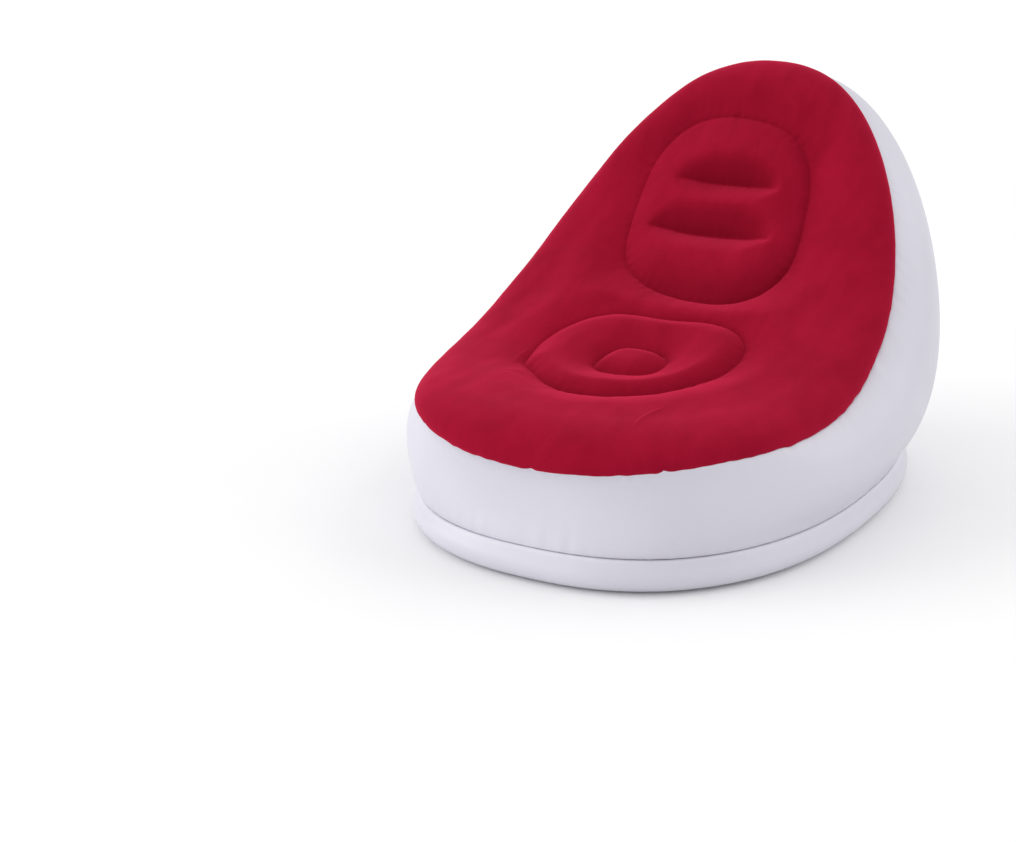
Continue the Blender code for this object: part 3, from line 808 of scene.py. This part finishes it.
panel_verts, panel_faces, panel_marks = build_panel()
panel = make_object("flocked_panel", panel_verts, panel_faces, FLOCK)
# store the painted shade of the grooves and the painted light and shade of the slopes on the panel
for key, values in zip(("painted_groove_shade", "painted_slope_light"), panel_marks):
    panel.data.attributes.new(key, "FLOAT", "POINT").data.foreach_set("value", np.ascontiguousarray(values, np.float32))
thicken(panel)

# =====================================================================================
# The side wall
# =====================================================================================
def build_wall():
    rows = 96
    v = np.linspace(0, 1, rows)
    v = 0.5 * v + 0.5 * (0.5 - 0.5 * np.cos(pi * v))
    V, TT = np.meshgrid(v, T, indexing="ij")
    base = wall_at(V, TT)
    top = np.broadcast_to(base[:1], base.shape)
    low = np.broadcast_to(base[-1:], base.shape)
    d_top = np.linalg.norm(base - top, axis=-1)
    d_low = np.linalg.norm(base - low, axis=-1)
    flat = base.reshape(-1, 3)
    faces = grid_faces(rows, NT)
    normal = normals_of(flat, faces).reshape(base.shape)
    if (normal[rows // 2, 0] @ outward(np.array([0.0]))[0]) < 0:
        faces = [f[::-1] for f in faces]
        normal = -normal
    # slow unevenness of the film, and short puckers where it leaves both welds
    pucker_top = ripple_round(51, TT, 70, 170) * np.exp(-(d_top / 0.022) ** 1.2) * np.clip(d_top / 0.005, 0, 1)
    pucker_low = ripple_round(52, TT, 60, 150) * np.exp(-(d_low / 0.026) ** 1.2) * np.clip(d_low / 0.005, 0, 1)
    slow = ripple_space(53, flat, 0.24).reshape(TT.shape) * np.clip(d_top / 0.05, 0, 1) * np.clip(d_low / 0.05, 0, 1)
    move = 0.0005 * pucker_top + 0.0006 * pucker_low + 0.0009 * slow
    verts = base + normal * move[..., None]
    verts += outward(TT) * (MEET * np.exp(-(d_low / 0.030) ** 1.5))[..., None]
    verts += seam_shift(d_top, TT)
    lip_top = verts[0] - LIP * outward(T) - np.array([0, 0, 0.0])
    lip_low = verts[-1] - (LIP + MEET) * outward(T)
    verts = np.concatenate([lip_top[None], flatten_near(verts.reshape(-1, 3), MAIN, 0.033, 0.062).reshape(verts.shape),
                            lip_low[None]])
    # painted light: how much paler the wall is painted near its weld to the ring, against the shade of the crease
    pale = 0.20 * np.exp(-(d_low / 0.005) ** 1.5)
    return verts.reshape(-1, 3), grid_faces(rows + 2, NT), np.concatenate([pale[:1], pale, pale[-1:]]).ravel()


wall_verts, wall_faces, wall_mark = build_wall()
wall = make_object("body_wall", wall_verts, wall_faces, VINYL_BODY)
wall.data.attributes.new("crease", "FLOAT", "POINT").data.foreach_set("value", np.ascontiguousarray(wall_mark, np.float32))
thicken(wall)

# =====================================================================================
# The base ring and the flat sheets
# =====================================================================================
TOP_Z = BASE_H - SHEET / 2 - GAP
LOW_Z = SHEET + GAP
NR = 640
TR = even(base_plan, NR)


def build_ring():
    rows = 34
    ph = np.linspace(pi / 2, -pi / 2, rows)[:, None]
    first = MEET * smooth(ph / (pi / 2))
    out = first + (BASE_BULGE - first) * np.cos(ph) + 0 * TR[None]
    z = (TOP_Z + LOW_Z) / 2 + (TOP_Z - LOW_Z) / 2 * np.sin(ph) + 0 * TR[None]
    d_top = (pi / 2 - ph) * 0.034
    d_low = (ph + pi / 2) * 0.034
    wobble = ripple_round(61, TR, 55, 130)[None] * (np.exp(-(d_top / 0.016) ** 1.2) + 0.8 * np.exp(-(d_low / 0.02) ** 1.2))
    wobble = wobble * np.clip(np.minimum(d_top, d_low) / 0.004, 0, 1)
    out = out + 0.0006 * wobble + 0.0006 * ripple_round(62, TR, 3, 11)[None] * np.cos(ph)
    rows_out = [ring_at(-LIP, TOP_Z, TR)] + [ring_at(out[i], z[i], TR) for i in range(rows)] + [ring_at(-LIP, LOW_Z, TR)]
    # painted light: how much paler the ring's top is painted near the crease with the body, against its shade
    reach = np.linalg.norm(np.stack([out - first, z - TOP_Z]), axis=0)
    pale = 0.45 * np.exp(-(reach / 0.010) ** 1.5)
    return (flatten_near(np.concatenate(rows_out), BASE, 0.0135, 0.030), grid_faces(rows + 2, NR),
            np.concatenate([pale[:1], pale, 0 * pale[-1:]]).ravel())


ring_verts, ring_faces, ring_mark = build_ring()
ring = make_object("base_ring_wall", ring_verts, ring_faces, VINYL_RING)
ring.data.attributes.new("crease", "FLOAT", "POINT").data.foreach_set("value", np.ascontiguousarray(ring_mark, np.float32))
thicken(ring)


def build_inner():
    rows = 18
    ph = np.linspace(pi / 2, -pi / 2, rows)[:, None]
    z = (TOP_Z + LOW_Z) / 2 + (TOP_Z - LOW_Z) / 2 * np.sin(ph) + 0 * TR[None]
    out = -RING_W - INNER_BULGE * np.cos(ph) + 0.0005 * ripple_round(63, TR, 40, 90)[None] * np.cos(ph) ** 2
    pts = [ring_at(-RING_W + LIP, TOP_Z, TR)] + [ring_at(out[i], z[i], TR) for i in range(rows)] + [ring_at(-RING_W + LIP, LOW_Z, TR)]
    return np.concatenate(pts), grid_faces(rows + 2, NR, flip=True)


inner_verts, inner_faces = build_inner()
inner = make_object("base_inner_wall", inner_verts, inner_faces, VINYL_UNDER)
thicken(inner)


def build_floor():
    spans = np.linspace(-RING_W, 0.0, 16)
    return np.concatenate([ring_at(o, 0.0, TR) for o in spans]), grid_faces(16, NR)


floor_verts, floor_faces = build_floor()
base_floor = make_object("base_floor_sheet", floor_verts, floor_faces, VINYL_UNDER)
thicken(base_floor, offset=1.0)


def build_bottom():
    x, y = base_plan(TR)
    rows = []
    qs = np.linspace(0.06, 1.0, 22)
    for q in qs:
        rows.append(np.stack([q * x, BASE_Y + q * (y - BASE_Y), np.full_like(x, BASE_H)], -1))
    verts = np.concatenate(rows + [np.array([[0.0, BASE_Y, BASE_H]])])
    faces = grid_faces(len(qs), NR)
    hub = len(verts) - 1
    faces += [(hub, j, (j + 1) % NR) for j in range(NR)]
    return verts, faces


bottom_verts, bottom_faces = build_bottom()
bottom = make_object("body_bottom", bottom_verts, bottom_faces, VINYL_UNDER)
thicken(bottom, offset=0.0)

for obj, node, slot in ((panel, "seat_back_panel", "red_flock"), (wall, "body_side_wall", "white_vinyl"),
                        (ring, "base_ring_outer_wall", "white_vinyl"), (inner, "base_ring_inner_wall", "white_vinyl"),
                        (base_floor, "base_ring_floor_sheet", "white_vinyl"), (bottom, "body_bottom_sheet", "white_vinyl")):
    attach(obj, "chair_body")
    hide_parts(node)

# =====================================================================================
# Webs inside the main chamber, under the grooves of the finer panel
# =====================================================================================
top_tree = kdtree.KDTree(len(panel_verts))
for i, q in enumerate(panel_verts):
    top_tree.insert(q, i)
top_tree.balance()


def sunk(weld, count):
    """Evenly spaced points of a weld line on the finished, grooved panel."""
    n = len(weld.a)
    pick = np.linspace(0, n, count, endpoint=False).astype(int) if weld.closed else np.linspace(0, n - 1, count).astype(int)
    base = weld.p[pick]
    h = 0.004
    da = panel_at(weld.a[pick] + h, weld.b[pick]) - panel_at(weld.a[pick] - h, weld.b[pick])
    db = panel_at(weld.a[pick], weld.b[pick] + h) - panel_at(weld.a[pick], weld.b[pick] - h)
    nrm = np.cross(da, db)
    nrm /= np.linalg.norm(nrm, axis=1, keepdims=True)
    plump = PLUMP * (1 - smooth((plan_ratio(weld.a[pick], weld.b[pick]) - 0.55) / 0.25))
    return base - nrm * (weld.local_depth(weld.a[pick], weld.b[pick]) + weld.crisp + SHEET + 0.0050 - plump)[:, None], nrm


from mathutils.bvhtree import BVHTree
bpy.context.view_layer.update()
wall_tree = BVHTree.FromObject(wall, bpy.context.evaluated_depsgraph_get())
panel_tree = BVHTree.FromObject(panel, bpy.context.evaluated_depsgraph_get())
BACKWARD = Vector((0.0, 1.0, -0.12)).normalized()

webs = []
for name, weld, node, count in (("seat_outer_ring_web", SEAT_RING, "seat_outer_ring_baffle", 120),
                                ("seat_inner_ring_web", SEAT_DISC, "seat_inner_ring_baffle", 72)):
    top, _ = sunk(weld, count)
    low = top.copy()
    low[:, 2] = BASE_H + SHEET / 2 + GAP
    rows = [top + (low - top) * f for f in np.linspace(0, 1, 9)]
    web = make_object(name, np.concatenate(rows), grid_faces(9, count), WEB)
    thicken(web, offset=-1.0)
    webs.append((web, node))

for name, weld, node, count in (("back_oval_web", BACK_OVAL, "back_oval_baffle", 120),
                                ("back_upper_tie", CREASE_UP, "back_upper_tie_strip", 33),
                                ("back_lower_tie", CREASE_LOW, "back_lower_tie_strip", 41)):
    front, inward = sunk(weld, count)
    rear = []
    for p, n in zip(front, inward):
        p = Vector(p)
        for turned_in in (0.0, 0.15, 0.3, 0.5, 0.75, 1.0):
            way = (BACKWARD * (1 - turned_in) - Vector(n) * turned_in).normalized()
            hit, _, _, far = wall_tree.ray_cast(p, way)
            skin = panel_tree.ray_cast(p + way * 0.004, way)[3]
            if hit is not None and (skin is None or skin > far):
                break
        rear.append(tuple(hit - way * 0.004))
    rear = np.array(rear)
    rows = [front + (rear - front) * f for f in np.linspace(0, 1, 9)]
    web = make_object(name, np.concatenate(rows), grid_faces(9, count, closed=weld.closed), WEB)
    thicken(web, offset=-1.0 if weld.closed else 0.0)
    webs.append((web, node))

for web, node in webs:
    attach(web, "chair_body")
    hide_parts(node)

# =====================================================================================
# Valves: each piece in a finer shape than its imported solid, in the same place
# =====================================================================================
def rounded(outline, radius, closed=True, steps=4):
    """An outline (radius, height in millimetres) with its corners rounded."""
    out = []
    n = len(outline)
    for i, p in enumerate(outline):
        p = np.array(p, float)
        if not closed and i in (0, n - 1):
            out.append(tuple(p))
            continue
        q, r = np.array(outline[i - 1], float), np.array(outline[(i + 1) % n], float)
        lq, lr = np.linalg.norm(q - p), np.linalg.norm(r - p)
        cut = min(radius, 0.42 * lq, 0.42 * lr)
        a, b = p + (q - p) / lq * cut, p + (r - p) / lr * cut
        for k in range(steps + 1):
            f = k / steps
            out.append(tuple((1 - f) ** 2 * a + 2 * (1 - f) * f * p + f * f * b))
    return out


def finish_piece(obj, sharp=38):
    bm = bmesh.new()
    bm.from_mesh(obj.data)
    bmesh.ops.remove_doubles(bm, verts=bm.verts, dist=1e-6)
    bmesh.ops.recalc_face_normals(bm, faces=bm.faces)
    bm.to_mesh(obj.data)
    bm.free()
    obj.data.shade_smooth()
    obj.data.set_sharp_from_angle(angle=radians(sharp))
    return obj


def revolve(name, outline, place, mat, closed=True, steps=192, shape=None):
    """Turn an outline in millimetres round the frame's Z. shape may bend a point: (r, z, angle) to (r, z)."""
    verts, faces = [], []
    n = len(outline)
    for j in range(steps):
        ang = 2 * pi * j / steps
        for r, z in outline:
            if shape:
                r, z = shape(r, z, ang)
            verts.append(place @ Vector((r * cos(ang) * MM, r * sin(ang) * MM, z * MM)))
    for j in range(steps):
        k = (j + 1) % steps
        for i in range(n if closed else n - 1):
            h = (i + 1) % n
            faces.append((j * n + i, k * n + i, k * n + h, j * n + h))
    obj = make_object(name, verts, [f for f in faces], mat)
    bm = bmesh.new()
    bm.from_mesh(obj.data)
    bmesh.ops.remove_doubles(bm, verts=bm.verts, dist=1e-7)
    bmesh.ops.dissolve_degenerate(bm, edges=bm.edges, dist=1e-8)
    bmesh.ops.recalc_face_normals(bm, faces=bm.faces)
    bm.to_mesh(obj.data)
    bm.free()
    return obj


def brick(name, size, centre, place, mat, bevel=0.25):
    bm = bmesh.new()
    bmesh.ops.create_cube(bm, size=1.0)
    bmesh.ops.scale(bm, verts=bm.verts, vec=Vector(size) * MM)
    bmesh.ops.bevel(bm, geom=list(bm.edges), offset=bevel * MM, segments=3, profile=0.5, affect="EDGES")
    bmesh.ops.translate(bm, verts=bm.verts, vec=Vector(centre) * MM)
    bmesh.ops.transform(bm, verts=bm.verts, matrix=place)
    mesh = bpy.data.meshes.new(name)
    bm.to_mesh(mesh)
    bm.free()
    mesh.materials.append(mat)
    obj = bpy.data.objects.new(name, mesh)
    bpy.context.scene.collection.objects.link(obj)
    return obj


def join_solid(obj, other, how="UNION"):
    mod = obj.modifiers.new("join", "BOOLEAN")
    mod.operation = how
    mod.solver = "EXACT"
    mod.object = other
    apply_modifiers(obj)
    mesh = other.data
    bpy.data.objects.remove(other)
    bpy.data.meshes.remove(mesh)
    return obj


def crosswise(place, point):
    """The frame of a hinge pin: its own Z lies along the chair's X."""
    return place @ Matrix.Translation(Vector(point) * MM) @ Matrix.Rotation(pi / 2, 4, "Y")


def open_hole(obj, place, radius, depth):
    cutter = revolve("hole_cutter", [(0, depth), (radius, depth), (radius, -depth), (0, -depth)], place, VINYL_UNDER,
                     closed=False, steps=96)
    join_solid(obj, cutter, "DIFFERENCE")
    obj.data.shade_smooth()


open_hole(wall, MAIN, 21.0, 8.0)
open_hole(ring, BASE, 6.6, 6.0)

# the flange: a wide rim welded to the film, with two shallow weld ribs, and a sleeve that reaches in
main_flange = revolve("valve_flange", rounded([
    (17.2, 2.1), (23.3, 2.1), (23.7, 2.38), (24.3, 2.38), (24.7, 2.1), (26.5, 2.1), (26.9, 2.38), (27.5, 2.38),
    (27.9, 2.1), (29.1, 2.1), (30.0, 1.3), (30.0, 0.3), (20.0, 0.3), (20.0, -14.0), (17.2, -14.0)], 0.45), MAIN, MOULD)

# the screw-in insert: a thread of 4 mm pitch, six finger notches in its rim, a bore and a cross bar for the flap
side_z = list(np.arange(2.4, -12.3, -0.4))


def insert_shape(r, z, ang):
    if 16.8 < r < 17.0 and z < 2.5:
        turn = (z / 4.0 + ang / (2 * pi)) % 1.0
        edge = min(1.0, max(0.0, min(2.4 - z, z + 12.3) / 1.6))
        r -= 0.75 * edge * (0.5 + 0.5 * cos(2 * pi * turn)) ** 1.5
    if r > 18.2 and z > 3.0:
        d = (ang - 0.5 + pi / 6) % (pi / 3) - pi / 6
        r -= 1.5 * np.exp(-(d / 0.070) ** 4) * min(1.0, (r - 18.2) / 1.2)
    return r, z


insert_top = rounded([(9.0, 6.4), (19.4, 6.4), (20.4, 5.8), (20.4, 3.9), (16.9, 3.9), (16.9, 2.9)], 0.4, closed=False)
insert = revolve("valve_insert", [(9.0, 5.9), (9.15, 6.25), (9.5, 6.4)] + insert_top[1:] + [(16.9, z) for z in side_z]
                 + [(16.9, -12.7), (16.6, -13.0), (9.3, -13.0), (9.0, -12.7)], MAIN, MOULD, steps=240, shape=insert_shape)
for turned in (0.0, pi / 2):
    join_solid(insert, brick("bar", (19.0, 1.3, 0.9), (0, 0, -12.5),
                             MAIN @ Matrix.Rotation(turned + pi / 4, 4, "Z"), MOULD, 0.2))

# the strap: a flat ring under the insert, an arm, and a fork that carries the cap's pin
strap = revolve("valve_strap", rounded([(17.3, 3.5), (21.6, 3.5), (21.6, 2.4), (17.3, 2.4)], 0.3), MAIN, MOULD_SOFT)
join_solid(strap, brick("arm", (8.0, 6.0, 1.0), (0, 23.6, 2.97), MAIN, MOULD_SOFT, 0.3))
join_solid(strap, brick("knuckle", (7.7, 2.6, 2.2), (0, 25.4, 3.63), MAIN, MOULD_SOFT, 0.45))
for x in (-3.3, 3.3):
    join_solid(strap, brick("ear", (1.3, 3.6, 3.9), (x, 23.7, 4.65), MAIN, MOULD_SOFT, 0.4))
join_solid(strap, revolve("pin", [(0, 3.3), (0.5, 3.3), (0.5, -3.3), (0, -3.3)], crosswise(MAIN, (0, 22.8, 5.6)),
                          MOULD_SOFT, closed=False, steps=32))

# the cap: a lid with a shallow dish and a raised edge, a plug under it, a lug with a barrel, and a ribbed pull tab
cap = revolve("valve_cap", rounded([
    (0, 7.75), (5.0, 7.75), (5.4, 8.0), (6.2, 8.0), (6.6, 7.75), (15.2, 7.75), (16.0, 8.4), (18.9, 8.4), (20.4, 7.5),
    (20.4, 6.7), (8.6, 6.7), (8.4, 5.2), (7.2, 5.2), (7.0, 6.2), (0, 6.2)], 0.4, closed=False), MAIN, MOULD, closed=False)
join_solid(cap, brick("lug", (4.4, 4.2, 0.9), (0, 20.5, 7.25), MAIN, MOULD, 0.2))
join_solid(cap, brick("neck", (4.3, 1.2, 1.3), (0, 22.0, 6.9), MAIN, MOULD, 0.25))
join_solid(cap, revolve("barrel", rounded([(0.8, 2.3), (1.2, 2.3), (1.2, -2.3), (0.8, -2.3)], 0.1),
                        crosswise(MAIN, (0, 22.8, 5.6)), MOULD, steps=40))
join_solid(cap, brick("tab", (9.0, 7.2, 1.1), (0, -21.9, 7.3), MAIN, MOULD, 0.45))
for k in range(3):
    join_solid(cap, brick("rib", (6.6, 0.6, 0.6), (0, -22.0 - 1.15 * k, 7.85), MAIN, MOULD, 0.15))

flap = revolve("valve_flap", rounded([(0, -13.5), (8.8, -13.5), (9.2, -13.3), (11.0, -13.3), (11.0, -14.1), (0, -14.1)],
                                     0.25, closed=False), MAIN, FLAP, closed=False, steps=128)

# the stem valve of the base ring
base_flange = revolve("base_flange", rounded([
    (4.8, 1.4), (8.9, 1.4), (9.2, 1.62), (9.7, 1.62), (10.0, 1.4), (11.3, 1.4), (12.0, 0.9), (12.0, 0.4), (6.2, 0.4),
    (6.2, -3.5), (4.8, -3.5)], 0.3), BASE, MOULD_SOFT, steps=128)
stem = revolve("stem", rounded([(2.8, 3.0), (6.0, 3.0), (6.0, 1.8), (4.5, 1.8), (4.5, -14.9), (4.4, -15.0), (2.8, -15.0)],
                               0.3), BASE, MOULD_SOFT, steps=128)
for x in (-2.1, 2.1):
    join_solid(stem, brick("ear", (0.8, 2.8, 1.45), (x, 6.6, 2.525), BASE, MOULD_SOFT, 0.2))
join_solid(stem, revolve("pin", [(0, 2.05), (0.3, 2.05), (0.3, -2.05), (0, -2.05)], crosswise(BASE, (0, 7.2, 2.9)),
                         MOULD_SOFT, closed=False, steps=24))
plug = revolve("stem_plug", rounded([
    (0, 4.25), (3.5, 4.25), (4.0, 4.6), (5.2, 4.6), (6.0, 4.0), (6.0, 3.4), (2.6, 3.4), (2.45, 2.4), (0, 2.4)],
    0.25, closed=False), BASE, MOULD_SOFT, closed=False, steps=128)
join_solid(plug, brick("lug", (2.8, 2.0, 0.8), (0, 6.2, 3.85), BASE, MOULD_SOFT, 0.18))
join_solid(plug, revolve("barrel", rounded([(0.5, 1.4), (0.78, 1.4), (0.78, -1.4), (0.5, -1.4)], 0.08),
                         crosswise(BASE, (0, 7.2, 2.9)), MOULD_SOFT, steps=32))
join_solid(plug, brick("tab", (4.0, 3.6, 0.9), (0, -6.75, 3.9), BASE, MOULD_SOFT, 0.3))
for k in range(2):
    join_solid(plug, brick("rib", (2.8, 0.45, 0.4), (0, -7.0 - 0.8 * k, 4.35), BASE, MOULD_SOFT, 0.1))
base_flap = revolve("stem_flap", rounded([(0, -15.55), (3.0, -15.55), (3.2, -15.4), (4.0, -15.4), (4.0, -16.0), (0, -16.0)],
                                         0.15, closed=False), BASE, FLAP, closed=False, steps=96)

for obj, body, node, slot in (
        (main_flange, "chair_body", "main_valve_flange", "valve_plastic"),
        (insert, "valve_insert", "main_valve_insert", "valve_plastic"),
        (strap, "valve_strap", "main_valve_strap", "valve_plastic"),
        (cap, "valve_cap", "main_valve_cap", "valve_plastic"),
        (flap, "valve_flap", "main_valve_flap", "valve_flap"),
        (base_flange, "chair_body", "base_valve_flange", "valve_plastic"),
        (stem, "stem", "base_valve_stem", "valve_plastic"),
        (plug, "stem_plug", "base_valve_plug", "valve_plastic"),
        (base_flap, "stem_flap", "base_valve_flap", "valve_flap")):
    finish_piece(obj)
    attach(obj, body)
    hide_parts(node)

# =====================================================================================
# Floor, light, camera
# =====================================================================================
floor_mat = Nodes("studio_floor")
floor_mat.set(Base_Color=floor_mat.ramp(floor_mat.noise(1.5, 2.0, 0.5), [(0.3, (0.90, 0.90, 0.905)), (0.7, (0.92, 0.92, 0.925))]),
              Roughness=0.75, Specular_IOR_Level=0.2, Emission_Color=(1.0, 1.0, 1.0), Emission_Strength=0.0)
stage_mesh = bpy.data.meshes.new("studio_floor")
bm = bmesh.new()
bmesh.ops.create_grid(bm, x_segments=1, y_segments=1, size=30.0)
bm.to_mesh(stage_mesh)
bm.free()
stage_mesh.materials.append(floor_mat.mat)
stage = bpy.data.objects.new("studio_floor", stage_mesh)
stage.location = (0, 0, -0.0004)
bpy.context.scene.collection.objects.link(stage)

world = bpy.data.worlds.new("studio")
bpy.context.scene.world = world
world.use_nodes = True
world.node_tree.nodes["Background"].inputs["Color"].default_value = (1.0, 1.0, 1.0, 1.0)
# the room lights the chair at 0.9; seen straight on, the backdrop is plain white like the floor
seen = world.node_tree.nodes.new("ShaderNodeLightPath")
level = world.node_tree.nodes.new("ShaderNodeMapRange")
level.inputs["To Min"].default_value = 0.90
level.inputs["To Max"].default_value = 1.0
world.node_tree.links.new(seen.outputs["Is Camera Ray"], level.inputs["Value"])
world.node_tree.links.new(level.outputs["Result"], world.node_tree.nodes["Background"].inputs["Strength"])


def softbox(name, side, height, energy, spread):
    """A wide, distant soft light. side is its bearing from the camera's own, to the camera's right, in degrees."""
    a, h = radians(side), cos(radians(height))
    back, right = Vector((sin(radians(30.414)), -cos(radians(30.414)), 0)), Vector((cos(radians(30.414)), sin(radians(30.414)), 0))
    place = back * (cos(a) * h) + right * (sin(a) * h) + Vector((0, 0, sin(radians(height))))
    data = bpy.data.lights.new(name, "SUN")
    data.energy = energy
    data.angle = radians(spread)
    obj = bpy.data.objects.new(name, data)
    obj.rotation_euler = (-place).to_track_quat("-Z", "Y").to_euler()
    bpy.context.scene.collection.objects.link(obj)


softbox("softbox_left", -90, 15, 1.52, 50)
softbox("softbox_right", 100, 40, 0.57, 50)

AZ, EL = 30.414, 17.416
CX, CY, SHIFT, HC = 0.309, 3.245, -0.036, 1.159
cam_data = bpy.data.cameras.new("camera")
cam = bpy.data.objects.new("camera", cam_data)
bpy.context.scene.collection.objects.link(cam)
ca, sa = cos(radians(AZ)), sin(radians(AZ))
cam.location = (-CX * ca + CY * sa, -CX * sa - CY * ca + SHIFT, HC)
cam.rotation_euler = (radians(90 - EL), 0, radians(AZ))
cam_data.sensor_width = 36
cam_data.lens = 1729.5 / 1016 * 36
cam_data.clip_end = 100
bpy.context.scene.camera = cam
bpy.context.scene.view_settings.view_transform = "Standard"
bpy.context.scene.view_settings.look = "None"
